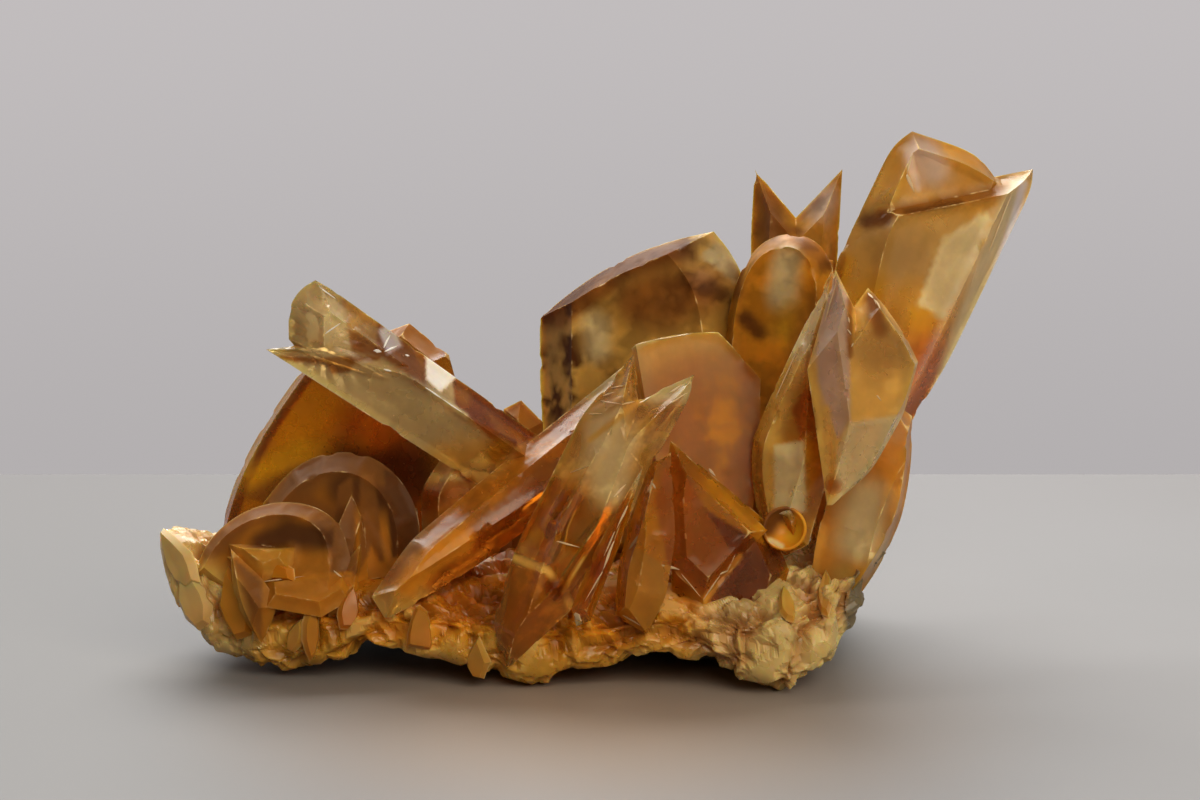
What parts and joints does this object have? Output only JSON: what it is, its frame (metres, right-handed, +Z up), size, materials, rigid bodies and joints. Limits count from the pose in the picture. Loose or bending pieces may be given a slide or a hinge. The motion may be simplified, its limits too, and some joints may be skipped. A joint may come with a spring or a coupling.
{
  "type": "golden selenite crystal cluster",
  "caption": "Cluster of honey-coloured gypsum blades and swallowtail twins on a crust of small crystals over grey host rock, standing on the worn feet of its base.",
  "frame": {"origin": "under the middle of the specimen's box, at the level of the surface that it stands on", "axes": "+Z up, +X to the right of a viewer who faces the front of the cluster, -Y towards that viewer"},
  "size_m": [0.0998, 0.0614, 0.0578],
  "materials": {
    "pale_honey": "clear pale honey gypsum with milky veils, cracks and a glassy to silky surface",
    "honey": "see-through golden honey gypsum, paler at the tips and orange at the roots",
    "brown_honey": "see-through brown honey gypsum, mottled with dark inclusions, dusty on its broad faces",
    "burnt_orange": "see-through burnt orange gypsum with flecks and paler edges",
    "sugary_gold": "sugary crust of small pale gold gypsum crystals",
    "grey_rock": "matt rough grey-green host rock"
  },
  "bodies": {
    "root": {"host_rock": "grey_rock", "druse_crust": "sugary_gold", "clear_blade": "pale_honey", "right_twin": "brown_honey", "front_spear": "honey", "orange_wedge": "burnt_orange", "crossed_twin": "pale_honey", "hollow_blade": "honey", "round_fan": "honey", "left_rosette": "honey", "left_slab": "brown_honey", "great_blade": "honey", "mottled_blade": "brown_honey", "back_lens": "brown_honey", "back_twin": "brown_honey", "orange_flank": "burnt_orange", "rear_bump": "honey", "rear_left_fan": "honey", "rear_middle_blade": "brown_honey", "rear_right_twin": "honey", "rear_corner_blade": "burnt_orange"}
  },
  "joints": []
}
